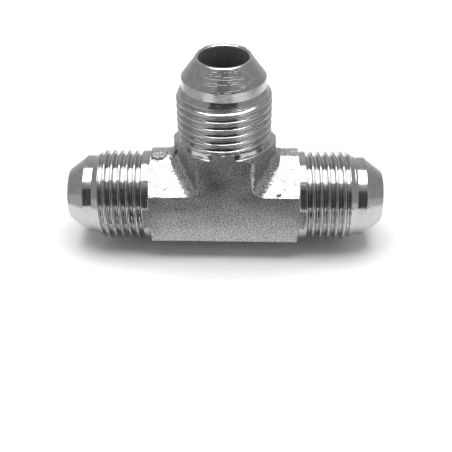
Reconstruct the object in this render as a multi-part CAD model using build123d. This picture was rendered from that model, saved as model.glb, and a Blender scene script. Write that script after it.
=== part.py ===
from build123d import *
import math
import os

# A tee for three flared tubes: one steel forging with a straight run and a branch.
# Each of its three arms ends in the same machined male end, with a 37 degree flare cone.
# Millimetres. The run lies along X and the branch points up along Z.
# The origin is where the axes of the run and the branch cross.

os.makedirs("parts", exist_ok=True)

# Lengths of the arms, from the crossing of the axes to the nose
run_arm = 33.2
branch_arm = 31.9

# Machined end, the same on all three arms
end_length = 17.65
thread_diameter = 19.05
thread_start_angle = 30.0
plain_band = 1.2
land_diameter = 16.7
land_length = 1.9
flare_half_angle = 37.0
nose_diameter = 11.0
mouth_chamfer = 0.3
bore_diameter = 9.9

# Forged body: flats at the front and the back, bevels, and a trimmed flash land all round
body_thickness = 18.7
run_height = 21.8
run_flat_width = 11.0
branch_width = 21.1
branch_flat_width = 11.4
flash_land = 2.8
shoulder_angle = 25.0

# Webs that round off the crotches: their legs, how far their middle stands off
# each wall as a share of a leg, and how far they reach into the forging
crotch_leg = 1.7
crotch_hollow = 0.34
web_overlap = 2.0

# Worked out from the values above
thread_radius = thread_diameter / 2
land_radius = land_diameter / 2
nose_radius = nose_diameter / 2
bore_radius = bore_diameter / 2
flare_length = (land_radius - nose_radius) / math.tan(math.radians(flare_half_angle))
thread_start_length = (thread_radius - land_radius) / math.tan(math.radians(thread_start_angle))


def revolve_arm(points):
    """A solid of revolution about Z from (radius, height) points."""
    outline = Plane.XZ * make_face(Polyline(*points, close=True))
    return revolve(outline, Axis.Z)


def machined_end(arm):
    """Thread barrel, land, flare cone and nose of an arm that points up, beyond its plain band."""
    barrel_foot = arm - end_length + plain_band
    cone_foot = arm - flare_length
    land_foot = cone_foot - land_length
    return revolve_arm([
        (0, barrel_foot),
        (thread_radius, barrel_foot),
        (thread_radius, land_foot - thread_start_length),
        (land_radius, land_foot),
        (land_radius, cone_foot),
        (nose_radius, arm),
        (0, arm),
    ])


def forged_bar(arm, width, flat_width):
    """The forged bar of an arm that points up, as far as the end of its plain band."""
    half_width = width / 2
    half_flat = flat_width / 2
    half_thick = body_thickness / 2
    half_land = flash_land / 2
    section = make_face(Polyline(
        (half_flat, -half_thick),
        (half_width, -half_land),
        (half_width, half_land),
        (half_flat, half_thick),
        (-half_flat, half_thick),
        (-half_width, half_land),
        (-half_width, -half_land),
        (-half_flat, -half_thick),
        close=True,
    ))
    return extrude(section, arm - end_length + plain_band)


def turning(arm, width):
    """What the lathe takes off the bar of an arm that points up, round its shoulder and its end."""
    shoulder = arm - end_length
    reach = math.hypot(width, body_thickness) / 2
    fall = (reach - thread_radius) * math.tan(math.radians(shoulder_angle))
    return revolve_arm([
        (thread_radius, shoulder),
        (reach, shoulder - fall),
        (reach, arm),
        (thread_radius, arm),
    ])


def crotch_web():
    """The rounded filling of the right-hand crotch. It follows the bevels from flat to flat."""
    side = branch_width / 2
    top = run_height / 2
    bulge = crotch_leg * crotch_hollow
    half_land = flash_land / 2
    bevel = Vector(
        (branch_flat_width - branch_width) / 2,
        (flash_land - body_thickness) / 2,
        (run_flat_width - run_height) / 2,
    )
    outline = ThreePointArc(
        (side + crotch_leg, top),
        (side + bulge, top + bulge),
        (side, top + crotch_leg),
    ) + Polyline(
        (side, top + crotch_leg),
        (side - web_overlap, top + crotch_leg),
        (side - web_overlap, top - web_overlap),
        (side + crotch_leg, top - web_overlap),
        (side + crotch_leg, top),
    )
    section = make_face(outline)
    between_lands = extrude(Plane.XZ.offset(-half_land) * section, flash_land)
    front = extrude(Plane.XZ.offset(half_land) * section, bevel.length, dir=bevel)
    return between_lands + front + mirror(front, Plane.XZ)


def forging():
    """The run's two arms and the branch, with filled crotches and turned shoulders."""
    run_bar = forged_bar(run_arm, run_height, run_flat_width)
    run_turning = turning(run_arm, run_height)
    web = crotch_web()
    run_body = Rot(0, 90, 0) * run_bar + Rot(0, -90, 0) * run_bar
    body = run_body + forged_bar(branch_arm, branch_width, branch_flat_width)
    body = body + web + mirror(web, Plane.YZ)
    turned_run = body - Rot(0, 90, 0) * run_turning - Rot(0, -90, 0) * run_turning
    return turned_run - turning(branch_arm, branch_width)


def passage(arm):
    """The passage drilled down an arm that points up, with its mouth chamfered."""
    return revolve_arm([
        (0, 0),
        (bore_radius, 0),
        (bore_radius, arm - mouth_chamfer),
        (bore_radius + mouth_chamfer, arm),
        (0, arm),
    ])


def on_every_arm(make):
    """What make builds for an arm's length, on the branch and on both sides of the run."""
    run_piece = make(run_arm)
    return Rot(0, 90, 0) * run_piece + Rot(0, -90, 0) * run_piece + make(branch_arm)


def tee():
    return forging() + on_every_arm(machined_end) - on_every_arm(passage)


tee_body = tee()
tee_body.label = "tee_body"
export_step(tee_body, "parts/tee_body.step")
print("tee_body", tee_body.is_valid, len(tee_body.solids()), "volume", round(tee_body.volume, 1))
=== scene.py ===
import math

import bmesh
import bpy
import numpy as np
from bpy.props import FloatProperty, FloatVectorProperty, IntProperty, PointerProperty
from mathutils import Matrix, Vector


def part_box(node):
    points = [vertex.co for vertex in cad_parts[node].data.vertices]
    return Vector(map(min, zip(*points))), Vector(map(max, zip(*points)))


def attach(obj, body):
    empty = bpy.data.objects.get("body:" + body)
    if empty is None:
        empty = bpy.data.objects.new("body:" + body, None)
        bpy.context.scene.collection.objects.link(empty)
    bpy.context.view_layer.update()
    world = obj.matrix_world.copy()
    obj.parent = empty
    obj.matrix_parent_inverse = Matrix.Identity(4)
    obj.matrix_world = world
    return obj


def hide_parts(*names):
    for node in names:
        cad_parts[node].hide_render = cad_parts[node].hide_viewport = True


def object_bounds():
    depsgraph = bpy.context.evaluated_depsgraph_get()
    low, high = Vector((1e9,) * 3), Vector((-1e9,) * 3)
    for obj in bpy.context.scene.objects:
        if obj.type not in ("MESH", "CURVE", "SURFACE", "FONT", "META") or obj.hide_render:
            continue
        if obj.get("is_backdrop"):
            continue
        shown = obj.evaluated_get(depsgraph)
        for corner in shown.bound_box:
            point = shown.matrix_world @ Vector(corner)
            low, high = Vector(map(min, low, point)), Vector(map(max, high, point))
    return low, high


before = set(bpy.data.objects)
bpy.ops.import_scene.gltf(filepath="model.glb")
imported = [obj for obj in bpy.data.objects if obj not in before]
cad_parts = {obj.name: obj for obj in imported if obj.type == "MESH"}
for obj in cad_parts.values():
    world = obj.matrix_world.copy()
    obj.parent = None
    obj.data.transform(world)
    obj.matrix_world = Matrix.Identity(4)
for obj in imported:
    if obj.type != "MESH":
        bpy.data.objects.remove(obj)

bl_info = {
    "name": "Flared tee",
    "version": (1, 0, 0),
    "blender": (4, 5, 0),
    "location": "View3D > Sidebar > Tee",
    "description": "Makes a plated steel tee with three flared ends, and a small studio for it",
    "category": "Object",
}

CAD_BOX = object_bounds()
NODE_LOW, NODE_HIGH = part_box("tee_body")

# A millimetre in metres. The forging's field, its burrs and its relief are in millimetres
MM = 0.001

# Material slots of the forged body
FORGED, TURNED = 0, 1

# Faces round each turned or drilled cut
CUT_FACES = 192

# Rounds of the forging: where a bevel meets its land, at the trimmed sides, at a burr's foot
# and at a nick's rim
BEVEL_ROUND = 0.15
SIDE_ROUND = 0.12
BURR_FOOT = 0.15
NICK_RIM = 0.05

# How far the front die sits off the back one, down the run and across the branch
RUN_SHIFT = 0.25
BRANCH_SHIFT = 0.2

# How far the forging's bars reach before they are turned, and the corners of the net round them
RUN_REACH = 18.0
BRANCH_REACH = 17.0
NET_LOW = (-18.5, -9.85, -11.4)
NET_HIGH = (18.5, 9.85, 17.5)

# Burrs and nicks left where the flash was trimmed, each a line and a radius
TORN_FLASH = ((-14.4, -0.9, 10.45), (-12.6, -0.9, 10.45))
EDGE_BEAD = ((5.88, -9.1, 7.5), (5.88, -9.1, 14.2))
CRESCENT = ((-14.84, -1.95, 10.15), (-13.82, -2.26, 9.94), (-12.91, -1.93, 10.16))
CROTCH_CRACK = (
    (-9.41, -2.3, 12.4), (-9.67, -1.88, 11.68), (-9.93, -1.77, 11.25), (-10.37, -1.8, 10.75))
BURRS = (
    (TORN_FLASH, 0.42),
    (((11.0, -8.7, 5.9), (11.3, -8.6, 5.95)), 0.25),
    (EDGE_BEAD, 0.28),
)
NICKS = (
    (CRESCENT, 0.26),
    (CROTCH_CRACK, 0.42),
    (((3.4, -9.35, 13.2), (3.6, -9.35, 12.7)), 0.16),
)

# Relief of the skin: its height, the length of a wave, how many waves are summed, and their seed
SOFT_RELIEF = (0.02, 2.6, 30, 1)
CLOSE_RELIEF = (0.012, 0.9, 40, 2)
TORN_RELIEF = (0.1, 0.6, 40, 3)

# How far torn relief reaches round the two long burrs
TORN_REACH = ((TORN_FLASH, 1.2), (EDGE_BEAD, 1.0))

# How much relief the flats keep, and how deep the skin lies to make room for it
FLAT_SHARE = 0.5
RELIEF_ROOM = 0.02

# Torn skin in metres, which also carries painted light: its middle, its reach each way, and how
# much lighter the steel is painted there.
# Lighter torn skin on the flash land; on the branch's front flat a painted highlight along the
# right edge's bead and painted shade along the left edge; and painted shade in the crotch's crack
TORN_SKIN_AND_PAINTED_LIGHT = (
    ((-0.0136, -0.0011, 0.0106), (0.0018, 0.0013, 0.001), 0.6),
    ((0.00585, -0.0092, 0.0112), (0.0005, 0.0008, 0.0042), 0.7),
    ((-0.0055, -0.0092, 0.0104), (0.0004, 0.0006, 0.0048), -0.3),
    ((-0.00962, -0.0021, 0.0120), (0.00032, 0.0005, 0.0006), -0.85),
    ((-0.01, -0.0018, 0.0112), (0.00036, 0.0005, 0.0006), -0.85),
)

# Where each thread starts, in turns about its arm
START_TURNS = {"right": 0.607, "left": 0.737, "branch": 0.366}

# Where the standing cards stand before the axes, and how high the lying ones lie on the floor
CARD_DEPTH = -0.165
CARD_LIFT = 0.0005

# The cards that lie on the floor: grey level, sides, and the depths of two opposite edges.
# The first four lie before the flats and the ends, and the fields lie far out at both sides
LOW_CARDS = {
    "wide_card": (0.045, (-0.0295, 0.024), -0.0235, -0.1),
    "left_card": (0.18, (-0.0262, -0.0175), -0.012, -0.0235),
    "right_card": (0.3, (0.0175, 0.0248), -0.015, -0.0235),
    "corner_card": (0.02, (0.024, 0.0312), -0.036, -0.1),
    "left_field": (0.6, (-0.6, -0.06), 0.5, -0.1),
    "right_field": (0.62, (0.073, 0.6), 0.5, -0.1),
}

# Depths between which a lying card fades, and the grey level that it fades to
FADE_FROM, FADE_TO = -0.046, -0.088
FADE_LEVEL = 0.75


class ForgingSizes(bpy.types.PropertyGroup):
    """Sizes of the forged body."""

    half_thickness: FloatProperty(
        name="Half thickness", description="From the axes to the front and back flats",
        default=0.00928, unit="LENGTH")
    run_half_height: FloatProperty(
        name="Run half height", description="From the run's axis to its flash land",
        default=-NODE_LOW[2], unit="LENGTH")
    run_half_flat: FloatProperty(
        name="Run half flat", description="Half the height of the run's flats",
        default=0.0055, unit="LENGTH")
    branch_half_width: FloatProperty(
        name="Branch half width", description="From the branch's axis to its flash land",
        default=0.01055, unit="LENGTH")
    branch_half_flat: FloatProperty(
        name="Branch half flat", description="Half the width of the branch's flats",
        default=0.0057, unit="LENGTH")
    half_land: FloatProperty(
        name="Half flash land", description="Half the width of the trimmed flash land",
        default=0.0014, unit="LENGTH")
    crotch: FloatProperty(
        name="Crotch radius", description="Round in the corners between run and branch",
        default=0.0020, unit="LENGTH")
    edge: FloatProperty(
        name="Edge round", description="Round on the edges of the flats",
        default=0.00012, unit="LENGTH", precision=5)
    cell: FloatProperty(
        name="Cell", description="Cell of the net that the forging is drawn from",
        default=0.00018, unit="LENGTH", precision=5)
    shoulder_angle: FloatProperty(
        name="Shoulder angle", description="Slope of the turned shoulders behind the threads",
        default=math.radians(14), subtype="ANGLE")


class EndSizes(bpy.types.PropertyGroup):
    """Sizes of the machined ends, the same on all three arms."""

    length: FloatProperty(
        name="Length", description="From the shoulder to the nose", default=0.01765, unit="LENGTH")
    band: FloatProperty(
        name="Plain band", description="Plain band between shoulder and thread",
        default=0.0012, unit="LENGTH")
    thread_radius: FloatProperty(
        name="Thread radius", description="Radius over the crests",
        default=NODE_HIGH[1], unit="LENGTH")
    thread_depth: FloatProperty(
        name="Thread depth", description="From crest to root", default=0.00094, unit="LENGTH")
    pitch: FloatProperty(
        name="Pitch", description="Sixteen threads to the inch", default=0.0015875, unit="LENGTH")
    start_angle: FloatProperty(
        name="Start chamfer", description="Slope of the chamfer that the thread starts on",
        default=math.radians(30), subtype="ANGLE")
    run_out: FloatProperty(
        name="Run-out", description="Length in which the thread fades at the band",
        default=0.00025, unit="LENGTH")
    land_radius: FloatProperty(
        name="Land radius", description="Plain land between thread and flare cone",
        default=0.00835, unit="LENGTH")
    land_length: FloatProperty(
        name="Land length", description="Length of that land", default=0.0019, unit="LENGTH")
    flare_angle: FloatProperty(
        name="Flare half angle", description="Half angle of the flare cone",
        default=math.radians(37), subtype="ANGLE")
    nose_radius: FloatProperty(
        name="Nose radius", description="Radius of the nose", default=0.0055, unit="LENGTH")
    bore_radius: FloatProperty(
        name="Bore radius", description="Radius of the passages", default=0.00495, unit="LENGTH")
    columns: IntProperty(
        name="Columns", description="Faces round an end", default=192, min=48, max=360)
    rows_per_pitch: IntProperty(
        name="Rows per pitch", description="Faces across one thread", default=16, min=8, max=32)


class Finish(bpy.types.PropertyGroup):
    """The plated steel."""

    turned_colour: FloatVectorProperty(
        name="Turned colour", description="Colour of the plating on the machined faces",
        default=(0.57, 0.57, 0.575), subtype="COLOR", min=0, max=1)
    forged_colour: FloatVectorProperty(
        name="Forged colour", description="Colour of the plating on the blasted faces",
        default=(0.44, 0.44, 0.445), subtype="COLOR", min=0, max=1)
    drilled_colour: FloatVectorProperty(
        name="Drilled colour", description="Colour in the passages, where the plating is thin",
        default=(0.2, 0.2, 0.202), subtype="COLOR", min=0, max=1)
    turned_roughness: FloatProperty(
        name="Turned roughness", description="Roughness of the machined faces", default=0.13)
    forged_roughness: FloatProperty(
        name="Forged roughness", description="Roughness of the blasted faces", default=0.33)
    drilled_roughness: FloatProperty(
        name="Drilled roughness", description="Roughness inside the passages", default=0.6)
    fine_grain: FloatProperty(
        name="Fine grain", description="Finest grain of the blasted faces, per metre",
        default=7000.0)
    grain: FloatProperty(
        name="Grain", description="Main grain of the blasted faces, per metre", default=4000.0)
    patches: FloatProperty(
        name="Patches", description="Soft patches of the blasted faces, per metre", default=260.0)
    pits: FloatProperty(
        name="Pits", description="Grain that the deepest pits are taken from, per metre",
        default=1100.0)
    torn_grain: FloatProperty(
        name="Torn grain", description="Coarse grain of the torn skin, per metre", default=2600.0)
    tool_rings: FloatProperty(
        name="Tool rings", description="How close the rings left by the tool lie",
        default=1000.0)


class Studio(bpy.types.PropertyGroup):
    """Floor, lights and camera."""

    distance: FloatProperty(
        name="Camera distance", description="From the crossing of the axes to the camera's plane",
        default=0.1585, unit="LENGTH")
    elevation: FloatProperty(
        name="Elevation", description="Height of the camera", default=math.radians(36.98),
        subtype="ANGLE")
    azimuth: FloatProperty(
        name="Azimuth", description="Turn of the camera from the front", default=math.radians(2.07),
        subtype="ANGLE")
    roll: FloatProperty(
        name="Roll", description="Roll of the camera", default=math.radians(-0.634),
        subtype="ANGLE")
    slide: FloatVectorProperty(
        name="Slide", description="The crossing's place beside and above the picture's middle",
        default=(-0.0000951, 0.0068607), size=2, unit="LENGTH", precision=5)
    focal: FloatProperty(
        name="Focal length", description="Lens on a 36 mm sensor", default=58.22)
    floor_radius: FloatProperty(
        name="Floor radius", description="Radius of the round floor", default=3.0, unit="LENGTH")
    floor_colour: FloatProperty(
        name="Floor colour", description="Grey of the pale floor", default=0.92, min=0, max=1)
    floor_glow: FloatProperty(
        name="Floor glow", description="What the floor adds where it is seen", default=0.01)
    box_light: FloatProperty(
        name="Soft box", description="Power of the overhead soft box", default=2.15)
    box_size: FloatVectorProperty(
        name="Soft box size", description="Width and depth of the soft box",
        default=(0.42, 0.33), size=2, unit="LENGTH")
    box_place: FloatVectorProperty(
        name="Soft box place", description="Middle of the soft box",
        default=(0.0, 0.005, 0.42), size=3, subtype="TRANSLATION")
    room_front: FloatProperty(
        name="Room in front", description="Grey level of the room in front", default=0.385)
    room_back: FloatProperty(
        name="Room behind", description="Grey level of the room behind the tee", default=0.57)
    tall_card: FloatProperty(
        name="Tall card", description="Grey level of the dark card that stands in front",
        default=0.075)
    high_card: FloatProperty(
        name="High card", description="Grey level of the narrower card above it", default=0.24)
    light_strip: FloatProperty(
        name="Light strip", description="Level of the light strip above both", default=1.0)


class Value:
    """An output of a node, on which plain arithmetic adds Math nodes."""

    def __init__(self, graph, socket):
        self.graph = graph
        self.socket = socket

    def __add__(self, other):
        return self.graph.maths("ADD", self, other)

    def __sub__(self, other):
        return self.graph.maths("SUBTRACT", self, other)

    def __mul__(self, other):
        return self.graph.maths("MULTIPLY", self, other)

    def __truediv__(self, other):
        return self.graph.maths("DIVIDE", self, other)

    def __rsub__(self, other):
        return self.graph.maths("SUBTRACT", other, self)

    __radd__ = __add__
    __rmul__ = __mul__


class Graph:
    """Adds nodes to one node tree, for shaders and for geometry alike."""

    def __init__(self, tree):
        self.tree = tree

    def add(self, kind, settings, inputs, output=0):
        """A node by type, with its settings set first, and the value of one of its outputs."""
        node = self.tree.nodes.new(kind)
        for name, setting in settings.items():
            setattr(node, name, setting)
        for name, value in inputs.items():
            socket = node.inputs[name]
            if isinstance(value, Value):
                self.tree.links.new(value.socket, socket)
            else:
                socket.default_value = value
        return Value(self, node.outputs[output]) if node.outputs else node

    def maths(self, operation, *terms):
        return self.add("ShaderNodeMath", {"operation": operation}, dict(enumerate(terms)))

    def ramp(self, value, low, high, to_low=0.0, to_high=1.0, shape="SMOOTHSTEP"):
        """The value's place between low and high, eased, from to_low to to_high."""
        return self.add("ShaderNodeMapRange", {"interpolation_type": shape}, {
            "Value": value, "From Min": low, "From Max": high, "To Min": to_low, "To Max": to_high})

    def vector(self, operation, a, b=(0, 0, 0), output=0):
        return self.add("ShaderNodeVectorMath", {"operation": operation}, {0: a, 1: b}, output)

    def along(self, axis, vector):
        """One of a vector's three values, by the letter of its axis."""
        return self.add("ShaderNodeSeparateXYZ", {}, {0: vector}, axis)

    def place(self):
        """The place on the object in metres."""
        return self.add("ShaderNodeTexCoord", {}, {}, "Object")


# Materials

def new_material(name):
    """An empty material's graph."""
    material = bpy.data.materials.new(name)
    material.use_nodes = True
    material.node_tree.nodes.clear()
    return material, Graph(material.node_tree)


def finish_surface(graph, shader):
    graph.add("ShaderNodeOutputMaterial", {}, {"Surface": shader})


def noise(graph, place, scale, detail=2.0, roughness=0.5):
    """Grain from a noise, with its scale in grains per unit of the place."""
    return graph.add("ShaderNodeTexNoise", {}, {
        "Vector": place, "Scale": scale, "Detail": detail, "Roughness": roughness}, "Fac")


def toned(graph, colour, tone):
    """A colour made darker or lighter by a value."""
    return graph.add("ShaderNodeVectorMath", {"operation": "SCALE"}, {
        0: tuple(colour), "Scale": tone})


def torn_skin_and_painted_light(graph, place):
    """Where the skin is torn, and how much lighter its colour is painted there, negative for
    darker: lighter torn skin on the flash land, a painted highlight and painted shade along the
    edges of the branch's front flat, and painted shade in the crotch's crack.
    """
    torn, lift = 0.0, 0.0
    for middle, reach, lighter in TORN_SKIN_AND_PAINTED_LIGHT:
        off = graph.vector("DIVIDE", graph.vector("SUBTRACT", place, middle), reach)
        here = graph.ramp(graph.vector("LENGTH", off, output="Value"), 0.75, 1.0, 1.0, 0.0)
        torn = here + torn
        lift = here * lighter + lift
    return torn, lift


def blasted_steel(finish):
    """Plated forging skin: blasted all over, with fine pits, soft patches and a few deep specks."""
    material, graph = new_material("blasted_steel")
    place = graph.place()
    drawn = graph.vector("MULTIPLY", place, (0.7, 1.0, 1.0))
    fine = noise(graph, drawn, finish.fine_grain, 1.0)
    grain = noise(graph, drawn, finish.grain, 1.0)
    patch = noise(graph, place, finish.patches)
    pits = graph.ramp(noise(graph, place, finish.pits, 2.0, 0.4), 0.71, 0.77)
    # Torn skin gives bump grain at all these places; its colour lift is lighter torn skin on the
    # flash land, a painted highlight and painted shade on the front flat's edges, and painted shade
    # in the crotch's crack
    torn, lift = torn_skin_and_painted_light(graph, place)
    torn_grain = torn * noise(graph, place, finish.torn_grain) * 12.0
    bump = graph.add("ShaderNodeBump", {}, {
        "Strength": 1.0, "Distance": 0.00006,
        "Height": fine * 0.35 + grain * 0.65 - pits + torn_grain}, "Normal")
    mixed = fine * 0.4 + grain * 0.52 + patch * 0.08
    tone = graph.ramp(mixed, 0.38, 0.62, 0.46, 1.54) - pits * 0.4
    rough = graph.ramp(
        patch, 0.3, 0.7, finish.forged_roughness - 0.05, finish.forged_roughness + 0.07)
    shader = graph.add("ShaderNodeBsdfPrincipled", {}, {
        "Base Color": toned(graph, finish.forged_colour, tone + lift), "Metallic": 1.0,
        "Roughness": rough, "Normal": bump}, "BSDF")
    finish_surface(graph, shader)
    return material


def tool_place(graph, round_stretch, finish):
    """The place on a turned face: turns about its arm, and the way along its profile drawn out."""
    place = graph.add("ShaderNodeAttribute", {"attribute_name": "turning"}, {}, "Vector")
    return graph.vector("MULTIPLY", place, (round_stretch, finish.tool_rings, 0.0))


def turned_steel(finish):
    """Plated machined faces: broken, uneven rings left by the tool, with a few bright ridges."""
    material, graph = new_material("turned_steel")
    stretch = tool_place(graph, 3.0, finish)
    fine = noise(graph, stretch, 9.0, 3.0, 0.65)
    wide = noise(graph, stretch, 1.6)
    ridges = graph.ramp(noise(graph, stretch, 6.0, 1.0), 0.6, 0.7)
    bump = graph.add("ShaderNodeBump", {}, {
        "Strength": 0.8, "Distance": 0.00004,
        "Height": fine * 0.15 + wide * 0.3 + ridges * 0.25}, "Normal")
    spot = noise(graph, graph.place(), 700.0, 3.0)
    tone = graph.ramp(fine * 0.5 + spot * 0.5, 0.35, 0.65, 0.84, 1.0)
    rough = graph.ramp(
        spot, 0.35, 0.7, finish.turned_roughness - 0.03, finish.turned_roughness + 0.08)
    shader = graph.add("ShaderNodeBsdfPrincipled", {}, {
        "Base Color": toned(graph, finish.turned_colour, tone), "Metallic": 1.0,
        "Roughness": rough, "Normal": bump}, "BSDF")
    finish_surface(graph, shader)
    return material


def drilled_steel(finish):
    """Inside the passages: dull plating, with the drill's rings."""
    material, graph = new_material("drilled_steel")
    rings = noise(graph, tool_place(graph, 2.0, finish), 5.0, 3.0, 0.6)
    spot = noise(graph, graph.place(), 900.0, 3.0)
    bump = graph.add("ShaderNodeBump", {}, {
        "Strength": 0.8, "Distance": 0.00005, "Height": rings * 0.6 + spot * 0.4}, "Normal")
    tone = graph.ramp(rings * 0.5 + spot * 0.5, 0.35, 0.65, 0.85, 1.05)
    shader = graph.add("ShaderNodeBsdfPrincipled", {}, {
        "Base Color": toned(graph, finish.drilled_colour, tone), "Metallic": 0.1,
        "Roughness": finish.drilled_roughness, "Normal": bump}, "BSDF")
    finish_surface(graph, shader)
    return material


def steel(name):
    """One of the finishes, made once."""
    if name not in bpy.data.materials:
        finish = bpy.context.scene.tee_finish
        blasted_steel(finish)
        turned_steel(finish)
        drilled_steel(finish)
    return bpy.data.materials[name]


# Shapes

def new_object(name, mesh):
    piece = bpy.data.objects.new(name, mesh)
    bpy.context.scene.collection.objects.link(piece)
    return piece


def arm_turns():
    """The turn that lays an arm that points up along each arm of the tee."""
    return {
        "right": Matrix.Rotation(math.radians(90), 4, "Y"),
        "left": Matrix.Rotation(math.radians(-90), 4, "Y"),
        "branch": Matrix.Identity(4),
    }


def arm_lengths():
    """From the crossing of the axes to each nose, in metres."""
    return {"right": NODE_HIGH[0], "left": -NODE_LOW[0], "branch": NODE_HIGH[2]}


def rounded_meet(a, b, radius):
    """The field inside both a and b, with a round on their edge."""
    outer = np.hypot(np.maximum(a + radius, 0), np.maximum(b + radius, 0))
    return np.minimum(np.maximum(a, b), -radius) + outer


def filled_join(a, b, radius):
    """The field inside a or b, with their corner filled to a radius."""
    inner = np.hypot(np.maximum(radius - a, 0), np.maximum(radius - b, 0))
    return np.maximum(np.minimum(a, b), radius) - inner


def bar_field(side, depth, half_width, half_flat, sizes):
    """An endless forged bar: flash lands at its sides, and bevels towards its flats."""
    land = np.abs(side) - half_width / MM
    run = (half_width - half_flat) / MM
    rise = (sizes.half_thickness - sizes.half_land) / MM
    slant = math.hypot(run, rise)
    bevel = (land * rise + (np.abs(depth) - sizes.half_land / MM) * run) / slant
    return rounded_meet(land, bevel, BEVEL_ROUND)


def forging_field(x, y, z, sizes):
    """The forging as a field in millimetres, negative inside. Its front die sits a little off."""
    front = np.clip(0.5 - y * MM / sizes.half_land / 2, 0, 1)
    down = z + RUN_SHIFT * front
    run = bar_field(down, y, sizes.run_half_height, sizes.run_half_flat, sizes)
    run = rounded_meet(run, np.abs(z) - sizes.run_half_height / MM, SIDE_ROUND)
    across = x - BRANCH_SHIFT * front
    branch = bar_field(across, y, sizes.branch_half_width, sizes.branch_half_flat, sizes)
    branch = rounded_meet(branch, np.abs(x) - sizes.branch_half_width / MM, SIDE_ROUND)
    branch = np.maximum(branch, -z)
    body = filled_join(run, branch, sizes.crotch / MM)
    body = rounded_meet(body, np.abs(y) - sizes.half_thickness / MM, sizes.edge / MM)
    for line, radius in BURRS:
        body = filled_join(body, off_line(x, y, z, line) - radius, BURR_FOOT)
    for line, radius in NICKS:
        body = rounded_meet(body, radius - off_line(x, y, z, line), NICK_RIM)
    return body


def off_line(x, y, z, line):
    """Distance from a line of points."""
    nearest = np.inf
    for start, end in zip(line, line[1:]):
        along = [b - a for a, b in zip(start, end)]
        share = sum((p - a) * d for p, a, d in zip((x, y, z), start, along))
        share = np.clip(share / sum(d * d for d in along), 0, 1)
        gap = np.sqrt(sum((p - a - share * d) ** 2 for p, a, d in zip((x, y, z), start, along)))
        nearest = np.minimum(nearest, gap)
    return nearest


def net_from_field(field, low, cell):
    """A net of quads on the zero of a sampled field, with one vertex in each crossed cell."""
    inside = field < 0
    shape = tuple(n - 1 for n in field.shape)
    cells = int(np.prod(shape))
    weight = np.zeros(cells)
    total = np.zeros((3, cells))
    quads = []
    here = np.zeros(3, int)
    for axis in range(3):
        ahead = np.eye(3, dtype=int)[axis]
        near = tuple(slice(0, n - a) for n, a in zip(field.shape, ahead))
        far = tuple(slice(a, n) for n, a in zip(field.shape, ahead))
        at = np.argwhere(inside[near] != inside[far])
        value = field[near][tuple(at.T)]
        beyond = field[far][tuple(at.T)]
        point = at + ahead * (value / (value - beyond))[:, None]
        one, two = np.eye(3, dtype=int)[[(axis + 1) % 3, (axis + 2) % 3]]
        ring = [np.ravel_multi_index(tuple((at - step).T), shape)
                for step in (one + two, two, here, one)]
        for corner in ring:
            weight += np.bincount(corner, minlength=cells)
            for k in range(3):
                total[k] += np.bincount(corner, point[:, k], cells)
        quad = np.stack(ring, 1)
        turned = ~inside[near][tuple(at.T)]
        quad[turned] = quad[turned][:, ::-1]
        quads.append(quad)
    used = np.flatnonzero(weight)
    number = np.zeros(cells, int)
    number[used] = np.arange(len(used))
    points = (total[:, used] / weight[used]).T * cell + low
    return points, number[np.concatenate(quads)]


def settle(points, field, rounds=4, gap=0.02, flattest=0.05):
    """Moves points onto the field's zero, and gives them with their outward directions.
    The slope is taken across twice the gap, and its square is never taken as below flattest."""
    for _ in range(rounds):
        slope = np.stack([
            field(*(points + gap * step).T) - field(*(points - gap * step).T)
            for step in np.eye(3)], 1) / (2 * gap)
        size = np.maximum((slope ** 2).sum(1), flattest)
        points = points - slope * (field(*points.T) / size)[:, None]
    return points, slope / np.sqrt(size)[:, None]


def evened(points, quads):
    """Points moved to the middle of their neighbours in the net."""
    count = np.zeros(len(points))
    total = np.zeros((3, len(points)))
    for near, far in zip(quads.T, np.roll(quads, -1, 1).T):
        for one, other in ((near, far), (far, near)):
            count += np.bincount(one, minlength=len(points))
            for k in range(3):
                total[k] += np.bincount(one, points[other, k], len(points))
    return (total / count).T


def waves(points, height, length, count, seed):
    """Soft random relief of about one height, made of plane waves of about one length."""
    rng = np.random.default_rng(seed)
    way = rng.normal(size=(count, 3))
    turns = 2 * math.pi / length / rng.uniform(0.7, 1.5, count)
    way *= (turns / np.linalg.norm(way, axis=1))[:, None]
    swing = np.sin(points @ way.T + rng.uniform(0, 2 * math.pi, count))
    return height * (swing.sum(1) / math.sqrt(count))


def mesh_from(name, points, faces):
    mesh = bpy.data.meshes.new(name)
    mesh.from_pydata((points * MM).tolist(), [], faces.tolist())
    mesh.update()
    return mesh


def lathe(name, outline, turn):
    """A closed solid turned about Z from its outline of radius and height in metres."""
    shell = bmesh.new()
    rings = []
    for radius, height in outline:
        if radius == 0:
            rings.append([shell.verts.new((0, 0, height))] * CUT_FACES)
        else:
            rings.append([
                shell.verts.new((
                    radius * math.cos(2 * math.pi * k / CUT_FACES),
                    radius * math.sin(2 * math.pi * k / CUT_FACES),
                    height))
                for k in range(CUT_FACES)])
    for lower, upper in zip(rings, rings[1:] + rings[:1]):
        for k in range(CUT_FACES):
            j = (k + 1) % CUT_FACES
            corners = list(dict.fromkeys((lower[k], lower[j], upper[j], upper[k])))
            if len(corners) > 2:
                shell.faces.new(corners)
    shell.transform(turn)
    bmesh.ops.recalc_face_normals(shell, faces=shell.faces)
    mesh = bpy.data.meshes.new(name)
    for face in shell.faces:
        face.material_index = TURNED
    shell.to_mesh(mesh)
    shell.free()
    return mesh


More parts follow.
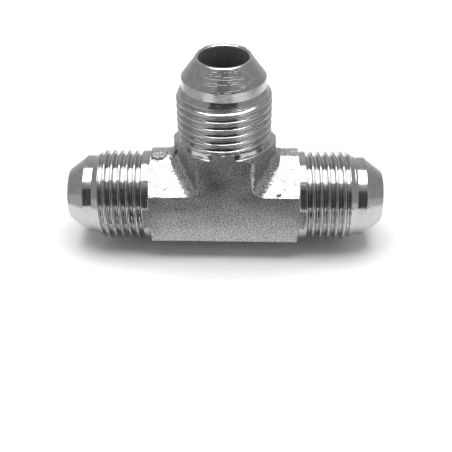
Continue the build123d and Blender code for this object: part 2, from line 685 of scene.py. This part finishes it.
def turning_tools(forging, end):
    """What the lathe and the drill take off the forging, as closed solids."""
    play = 0.000005
    overlap = 0.00002
    corner_round = 0.00016
    reach = 0.016
    past_forging = 0.004
    depth = 0.03
    tools = []
    for arm, turn in arm_turns().items():
        shoulder = arm_lengths()[arm] - end.length
        cut = shoulder + end.band + overlap
        radius = end.thread_radius + play
        fall = (reach - radius) * math.tan(forging.shoulder_angle)
        tools.append(lathe("turning_" + arm, rounded_outline([
            (0, cut, 0),
            (radius, cut, 0),
            (radius, shoulder, corner_round),
            (reach, shoulder - fall, 0),
            (reach, shoulder + past_forging, 0),
            (0, shoulder + past_forging, 0),
        ]), turn))
    bore = end.bore_radius
    for name, arm, foot in (("run_drill", "right", -depth), ("branch_drill", "branch", 0)):
        profile = [(0, foot), (bore, foot), (bore, depth), (0, depth)]
        tools.append(lathe(name, profile, arm_turns()[arm]))
    return tools


def machine(piece, tools):
    """Takes the tools' solids off a piece, and leaves a plain mesh."""
    cutters = []
    for tool in tools:
        cutter = new_object(tool.name, tool)
        cutters.append(cutter)
        cut = piece.modifiers.new(tool.name, "BOOLEAN")
        cut.operation = "DIFFERENCE"
        cut.solver = "MANIFOLD"
        cut.object = cutter
    mesh = plain_mesh(piece)
    for cutter in cutters:
        tool = cutter.data
        bpy.data.objects.remove(cutter)
        bpy.data.meshes.remove(tool)
    piece.modifiers.clear()
    piece.data = mesh


def plain_mesh(piece):
    """The evaluated piece as a plain mesh."""
    bpy.context.view_layer.update()
    graph = bpy.context.evaluated_depsgraph_get()
    return bpy.data.meshes.new_from_object(piece.evaluated_get(graph))


def part_finishes(mesh):
    """Clears slivers, marks where the machined faces lie on the lathe, and keeps edges sharp
    where they meet each other or the forging's skin."""
    sliver = 0.000004
    run_from = 0.012
    sharp = math.radians(25)
    shell = bmesh.new()
    shell.from_mesh(mesh)
    bmesh.ops.dissolve_degenerate(shell, dist=sliver, edges=shell.edges)
    turning = shell.loops.layers.uv.new("turning")
    for face in shell.faces:
        face.smooth = True
        if face.material_index == TURNED:
            on_run = abs(face.calc_center_median().x) > run_from
            for loop in face.loops:
                x, y, z = loop.vert.co
                along, radius = (abs(x), math.hypot(y, z)) if on_run else (z, math.hypot(x, y))
                loop[turning].uv = (0, along - radius / 2)
    for edge in shell.edges:
        kinds = {face.material_index for face in edge.link_faces}
        edge.smooth = kinds == {FORGED} or (len(kinds) == 1 and edge.calc_face_angle(0) < sharp)
    shell.to_mesh(mesh)
    shell.free()


def make_forging(scene):
    """The forged body as one closed mesh, blasted outside and turned at its shoulders."""
    sizes = scene.tee_forging
    cell = sizes.cell / MM

    def field(x, y, z):
        bar_ends = np.maximum(np.abs(x) - RUN_REACH, z - BRANCH_REACH)
        return np.maximum(forging_field(x, y, z, sizes), bar_ends)

    low = np.array(NET_LOW)
    count = np.ceil((np.array(NET_HIGH) - low) / cell).astype(int)
    x, y, z = (low[k] + cell * np.arange(count[k]) for k in range(3))
    samples = field(x[:, None, None], y[None, :, None], z[None, None, :])
    points, quads = net_from_field(samples, low, cell)
    for _ in range(3):
        points, out = settle(evened(points, quads), field)
    on_flat = np.abs(out[:, 1]) > 0.98
    relief = waves(points, *SOFT_RELIEF) + waves(points, *CLOSE_RELIEF)
    relief *= np.where(on_flat, FLAT_SHARE, 1.0)
    torn = sum(np.clip(reach - off_line(*points.T, line), 0, 1) for line, reach in TORN_REACH)
    lift = relief + torn * waves(points, *TORN_RELIEF) - RELIEF_ROOM
    mesh = mesh_from("forged_body", points + out * lift[:, None], quads)
    mesh.materials.append(steel("blasted_steel"))
    mesh.materials.append(steel("turned_steel"))
    piece = new_object("forged_body", mesh)
    machine(piece, turning_tools(sizes, scene.tee_end))
    part_finishes(piece.data)
    return piece


def rounded_outline(corners, steps=4, beside=1.6):
    """Points along a profile, from corners of radius, height and round. Each round has its
    steps, and a row at each side, at beside times its own length from the corner."""
    points = [Vector(corners[0][:2])]
    for before, corner, after in zip(corners, corners[1:], corners[2:]):
        at = Vector(corner[:2])
        back = (Vector(before[:2]) - at).normalized()
        on = (Vector(after[:2]) - at).normalized()
        trim = corner[2]
        if trim == 0:
            points.append(at)
            continue
        points.append(at + back * trim * beside)
        for k in range(steps + 1):
            t = k / steps
            points.append(at + back * trim * (1 - t) ** 2 + on * trim * t ** 2)
        points.append(at + on * trim * beside)
    points.append(Vector(corners[-1][:2]))
    return points


def end_outline(end, arm):
    """The profile past the thread: land, cone, nose, mouth, bore, and back to the thread's foot."""
    mouth = 0.00012
    sunk = 0.0003
    first_row = 0.00006
    land_round = 0.0001
    nose_round = 0.00022
    mouth_round = 0.00004
    bore_foot = 0.00002
    flare = (end.land_radius - end.nose_radius) / math.tan(end.flare_angle)
    foot = arm - flare - end.land_length
    band_end = arm - end.length + end.band
    inner = end.thread_radius - sunk
    return foot, rounded_outline([
        (end.land_radius, foot, 0),
        (end.land_radius, foot + first_row, 0),
        (end.land_radius, arm - flare, land_round),
        (end.nose_radius, arm, nose_round),
        (end.bore_radius + mouth, arm, mouth_round),
        (end.bore_radius, arm - mouth, mouth_round),
        (end.bore_radius, band_end + bore_foot, 0),
        (inner, band_end - sunk, 0),
        (inner, band_end, 0),
        (end.thread_radius, band_end, 0),
    ])


def end_tree():
    """A node tree that winds the thread, turns the rest of an end round Z and lays it down."""
    tree = bpy.data.node_groups.new("machined_end", "GeometryNodeTree")
    wanted = [
        ("Geometry", "NodeSocketGeometry"), ("Thread radius", "NodeSocketFloat"),
        ("Thread depth", "NodeSocketFloat"), ("Pitch", "NodeSocketFloat"),
        ("Band end", "NodeSocketFloat"), ("Land foot", "NodeSocketFloat"),
        ("Land radius", "NodeSocketFloat"), ("Start slope", "NodeSocketFloat"),
        ("Run-out", "NodeSocketFloat"), ("Start turn", "NodeSocketFloat"),
        ("Columns", "NodeSocketInt"), ("Rows per pitch", "NodeSocketInt"),
        ("Thread rows", "NodeSocketInt"), ("Outline rows", "NodeSocketInt"),
        ("Lay", "NodeSocketRotation"), ("Material", "NodeSocketMaterial"),
    ]
    for name, kind in wanted:
        tree.interface.new_socket(name, in_out="INPUT", socket_type=kind)
    tree.interface.new_socket("Geometry", in_out="OUTPUT", socket_type="NodeSocketGeometry")
    graph = Graph(tree)
    given = tree.nodes.new("NodeGroupInput")
    put = {name: Value(graph, given.outputs[name]) for name, kind in wanted}

    rows = put["Thread rows"] + put["Outline rows"]
    grid = graph.add("GeometryNodeMeshGrid", {}, {
        "Size X": 1.0, "Size Y": rows,
        "Vertices X": put["Columns"] + 1, "Vertices Y": rows + 1}, "Mesh")
    place = graph.add("GeometryNodeInputPosition", {}, {})
    round_share = graph.along("X", place) + 0.5
    row = graph.maths("ROUND", graph.along("Y", place) + rows / 2)

    turns = row / put["Rows per pitch"]
    wound = put["Band end"] + put["Pitch"] * (turns + round_share - 1)
    height = graph.maths("MAXIMUM", wound, put["Band end"])
    height = graph.maths("MINIMUM", height, put["Land foot"])
    # A flank runs from the edge of the root to the edge of the crest, in pitches off the root
    off_root = graph.maths("ABSOLUTE", graph.maths("FRACT", turns) - 0.5)
    root_edge, crest_edge = 0.095, 0.405
    straight = graph.ramp(off_root, crest_edge, root_edge, shape="LINEAR")
    eased = graph.ramp(off_root, crest_edge, root_edge)
    fade = graph.ramp(height, put["Band end"], put["Band end"] + put["Run-out"])
    groove = put["Thread depth"] * fade * (straight * 0.5 + eased * 0.5)
    wound_radius = put["Thread radius"] - groove
    start = put["Land radius"] + (put["Land foot"] - height) * put["Start slope"]
    thread_radius = graph.maths("MINIMUM", wound_radius, start)

    outline = graph.add(
        "GeometryNodeSampleIndex", {"data_type": "FLOAT_VECTOR", "clamp": True}, {
            "Geometry": put["Geometry"], "Value": place, "Index": row - put["Thread rows"]})
    past = graph.maths("GREATER_THAN", row, put["Thread rows"] - 0.5)
    radius = thread_radius + (graph.along("X", outline) - thread_radius) * past
    height = height + (graph.along("Y", outline) - height) * past

    profile_place = graph.add("ShaderNodeCombineXYZ", {}, {
        "X": round_share, "Y": height - radius / 2})
    marked = graph.add(
        "GeometryNodeStoreNamedAttribute", {"data_type": "FLOAT2", "domain": "CORNER"}, {
            "Geometry": grid, "Name": "turning", "Value": profile_place})
    angle = (round_share + put["Start turn"]) * (2 * math.pi)
    wound_place = graph.add("ShaderNodeCombineXYZ", {}, {
        "X": radius * graph.maths("COSINE", angle),
        "Y": radius * graph.maths("SINE", angle),
        "Z": height})
    wrapped = graph.add("GeometryNodeSetPosition", {}, {
        "Geometry": marked, "Position": wound_place})
    closed = graph.add("GeometryNodeMergeByDistance", {}, {
        "Geometry": wrapped, "Distance": 0.0000015})
    laid = graph.add("GeometryNodeTransform", {}, {"Geometry": closed, "Rotation": put["Lay"]})
    smooth = graph.add("GeometryNodeSetShadeSmooth", {}, {"Geometry": laid})
    real = graph.add("GeometryNodeRealizeInstances", {}, {"Geometry": smooth})
    done = graph.add("GeometryNodeSetMaterial", {}, {"Geometry": real, "Material": put["Material"]})
    leave = tree.nodes.new("NodeGroupOutput")
    tree.links.new(done.socket, leave.inputs[0])
    return tree


def make_end(scene, arm):
    """One machined end, as a closed mesh in its place."""
    end = scene.tee_end
    length = arm_lengths()[arm]
    foot, outline = end_outline(end, length)
    base = bpy.data.meshes.new(arm + "_outline")
    base.from_pydata([(point.x, point.y, 0) for point in outline], [], [])
    piece = new_object(arm + "_end", base)
    tree = bpy.data.node_groups.get("machined_end") or end_tree()
    band_end = length - end.length + end.band
    thread_rows = math.ceil(((foot - band_end) / end.pitch + 1) * end.rows_per_pitch)
    values = {
        "Thread radius": end.thread_radius, "Thread depth": end.thread_depth, "Pitch": end.pitch,
        "Band end": band_end, "Land foot": foot, "Land radius": end.land_radius,
        "Start slope": math.tan(end.start_angle), "Run-out": end.run_out,
        "Start turn": START_TURNS[arm], "Columns": end.columns,
        "Rows per pitch": end.rows_per_pitch, "Thread rows": thread_rows,
        "Outline rows": len(outline) - 1,
        "Lay": arm_turns()[arm].to_euler(), "Material": steel("turned_steel"),
    }
    wind = piece.modifiers.new("Wind", "NODES")
    wind.node_group = tree
    for item in tree.interface.items_tree:
        if item.in_out == "INPUT" and item.name in values:
            wind[item.identifier] = values[item.name]
    mesh = plain_mesh(piece)
    piece.modifiers.clear()
    piece.data = mesh
    bpy.data.meshes.remove(base)
    mesh.materials.append(steel("drilled_steel"))
    drilled = len(mesh.materials) - 1
    drilled_within = end.bore_radius + 0.00002
    upright = arm_turns()[arm].inverted()
    for face in mesh.polygons:
        if (upright @ face.center).xy.length < drilled_within:
            face.material_index = drilled
    return piece


def ragged_rim(mesh, end, arm):
    """The far side of the branch's nose, where the parting tool left its edge torn and raised."""
    rise = 0.0004
    spread = 0.03
    flat = np.empty(len(mesh.vertices) * 3)
    mesh.vertices.foreach_get("co", flat)
    x, y, z = flat.reshape(-1, 3).T
    radius = np.hypot(x, y)
    turn = np.arctan2(y, x)
    far = np.clip(1.8 * np.sin(turn) - 0.4, 0, 1)
    across = np.clip((radius - end.bore_radius) / (end.nose_radius - end.bore_radius), 0, 1)
    rim = across * np.clip((z - arm) / rise + 1, 0, 1)
    torn = 0.75 + 0.15 * np.sin(17 * turn + 1) + 0.1 * np.sin(41 * turn)
    lift = far * rim * torn
    grown = 1 + spread * lift
    moved = np.stack([x * grown, y * grown, z + rise * lift], 1)
    mesh.vertices.foreach_set("co", moved.ravel())


def dress(piece):
    """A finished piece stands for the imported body."""
    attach(piece, "root")
    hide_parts("tee_body")


# Studio

def emission(graph, strength):
    """White light of a strength."""
    return graph.add("ShaderNodeEmission", {}, {
        "Color": (1, 1, 1, 1), "Strength": strength}, "Emission")


def make_floor(scene):
    """A pale floor that shows white where no shadow falls."""
    studio = scene.tee_studio
    mesh = bpy.data.meshes.new("floor")
    shell = bmesh.new()
    bmesh.ops.create_circle(shell, cap_ends=True, segments=96, radius=studio.floor_radius)
    shell.transform(Matrix.Translation((0, 0, NODE_LOW[2])))
    shell.to_mesh(mesh)
    shell.free()
    floor = new_object("floor", mesh)
    material, graph = new_material("pale_floor")
    grey = (studio.floor_colour,) * 3
    paper = graph.add("ShaderNodeBsdfDiffuse", {}, {"Color": (*grey, 1)}, "BSDF")
    camera, glossy, through = (
        graph.add("ShaderNodeLightPath", {}, {}, "Is " + kind + " Ray")
        for kind in ("Camera", "Glossy", "Transmission"))
    seen = graph.maths("MINIMUM", camera + glossy + through, 1.0)
    glow = emission(graph, seen * studio.floor_glow)
    both = graph.add("ShaderNodeAddShader", {}, {0: paper, 1: glow})
    finish_surface(graph, both)
    mesh.materials.append(material)
    floor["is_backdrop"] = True


def make_card(name, level, sides, near, far):
    """A plain card between two edges given as depth and height, which only the metal sees.
    One that lies flat fades to the floor's grey where it reaches far forward."""
    mesh = bpy.data.meshes.new(name)
    left, right = sides
    corners = [(left, *near), (right, *near), (right, *far), (left, *far)]
    mesh.from_pydata(corners, [], [(0, 1, 2, 3)])
    card = new_object(name, mesh)
    material, graph = new_material(name)
    strength = level
    if near[1] == far[1]:
        depth = graph.along("Y", graph.place())
        strength = graph.ramp(depth, FADE_FROM, FADE_TO, level, FADE_LEVEL)
    finish_surface(graph, emission(graph, strength))
    mesh.materials.append(material)
    card.visible_camera = False
    card.visible_diffuse = False
    card.visible_shadow = False
    card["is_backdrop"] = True
    return card


def make_cards(scene):
    """The two dark cards and the light strip that stand in front, and the cards that lie on the
    floor. The floor sees the tall card too."""
    studio = scene.tee_studio
    foot = NODE_LOW[2] + CARD_LIFT
    for name, level, half_width, top in (
            ("tall_card", studio.tall_card, 0.12, 0.18),
            ("high_card", studio.high_card, 0.06, 0.27),
            ("light_strip", studio.light_strip, 0.05, 0.32)):
        sides = (-half_width, half_width)
        card = make_card(name, level, sides, (CARD_DEPTH, foot), (CARD_DEPTH, top))
        card.visible_diffuse = name == "tall_card"
        foot = top
    lying = NODE_LOW[2] + CARD_LIFT
    for name, (level, sides, near, far) in LOW_CARDS.items():
        make_card(name, level, sides, (near, lying), (far, lying))


def make_lights(scene):
    """A large soft box overhead, and a grey room that is lighter behind."""
    studio = scene.tee_studio
    lamp = bpy.data.lights.new("soft_box", "AREA")
    lamp.shape = "RECTANGLE"
    lamp.size, lamp.size_y = studio.box_size
    lamp.energy = studio.box_light
    box = new_object("soft_box", lamp)
    box.location = studio.box_place
    world = bpy.data.worlds.new("room")
    world.use_nodes = True
    world.node_tree.nodes.clear()
    graph = Graph(world.node_tree)
    behind = graph.along("Y", graph.add("ShaderNodeTexCoord", {}, {}, "Generated"))
    level = graph.ramp(behind, 0.5, 0.9, studio.room_front, studio.room_back)
    room = graph.add("ShaderNodeBackground", {}, {"Color": (1, 1, 1, 1), "Strength": level})
    graph.add("ShaderNodeOutputWorld", {}, {"Surface": room})
    scene.world = world


def make_camera(scene):
    """The camera, by its angles about the crossing of the axes."""
    studio = scene.tee_studio
    flat = math.cos(studio.elevation)
    back = Vector((math.sin(studio.azimuth) * flat, -math.cos(studio.azimuth) * flat,
                   math.sin(studio.elevation)))
    right = (-back).cross(Vector((0, 0, 1))).normalized()
    up = right.cross(-back)
    place = back * studio.distance - right * studio.slide[0] - up * studio.slide[1]
    facing = Matrix((right, up, back)).transposed().to_4x4()
    data = bpy.data.cameras.new("camera")
    data.sensor_width = 36.0
    data.lens = studio.focal
    data.clip_start = 0.01
    camera = new_object("camera", data)
    roll = Matrix.Rotation(studio.roll, 4, "Z")
    camera.matrix_world = Matrix.Translation(place) @ facing @ roll
    scene.camera = camera


class TEE_OT_forged_body(bpy.types.Operator):
    """Make the forged body with its turned shoulders"""

    bl_idname = "tee.forged_body"
    bl_label = "Forged body"

    def execute(self, context):
        dress(make_forging(context.scene))
        return {"FINISHED"}


class TEE_OT_machined_ends(bpy.types.Operator):
    """Make the three threaded ends with their flare cones"""

    bl_idname = "tee.machined_ends"
    bl_label = "Machined ends"

    def execute(self, context):
        for arm in arm_turns():
            piece = make_end(context.scene, arm)
            if arm == "branch":
                ragged_rim(piece.data, context.scene.tee_end, arm_lengths()[arm])
            dress(piece)
        return {"FINISHED"}


class TEE_OT_studio(bpy.types.Operator):
    """Make the floor, the lights and the camera"""

    bl_idname = "tee.studio"
    bl_label = "Studio"

    def execute(self, context):
        make_floor(context.scene)
        make_cards(context.scene)
        make_lights(context.scene)
        make_camera(context.scene)
        context.scene.view_settings.view_transform = "Standard"
        return {"FINISHED"}


class TEE_PT_panel(bpy.types.Panel):
    """Lists the pieces of the tee"""

    bl_label = "Tee"
    bl_idname = "TEE_PT_panel"
    bl_space_type = "VIEW_3D"
    bl_region_type = "UI"
    bl_category = "Tee"

    def draw(self, context):
        for operator in OPERATORS:
            self.layout.operator(operator.bl_idname)
        for group in GROUPS:
            owner = getattr(context.scene, group)
            column = self.layout.column(align=True)
            for name in owner.__annotations__:
                column.prop(owner, name)


GROUPS = {
    "tee_forging": ForgingSizes,
    "tee_end": EndSizes,
    "tee_finish": Finish,
    "tee_studio": Studio,
}
OPERATORS = (TEE_OT_forged_body, TEE_OT_machined_ends, TEE_OT_studio)
CLASSES = (*GROUPS.values(), *OPERATORS, TEE_PT_panel)


def register():
    for item in CLASSES:
        bpy.utils.register_class(item)
    for name, group in GROUPS.items():
        setattr(bpy.types.Scene, name, PointerProperty(type=group))


def unregister():
    for name in GROUPS:
        delattr(bpy.types.Scene, name)
    for item in reversed(CLASSES):
        bpy.utils.unregister_class(item)


def main():
    register()
    bpy.ops.tee.studio()
    bpy.ops.tee.forged_body()
    bpy.ops.tee.machined_ends()
    boxes = {"cad": CAD_BOX, "visual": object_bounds()}
    ({name: [list(map(float, corner)) for corner in box]
               for name, box in boxes.items()})


if __name__ == "__main__":
    main()
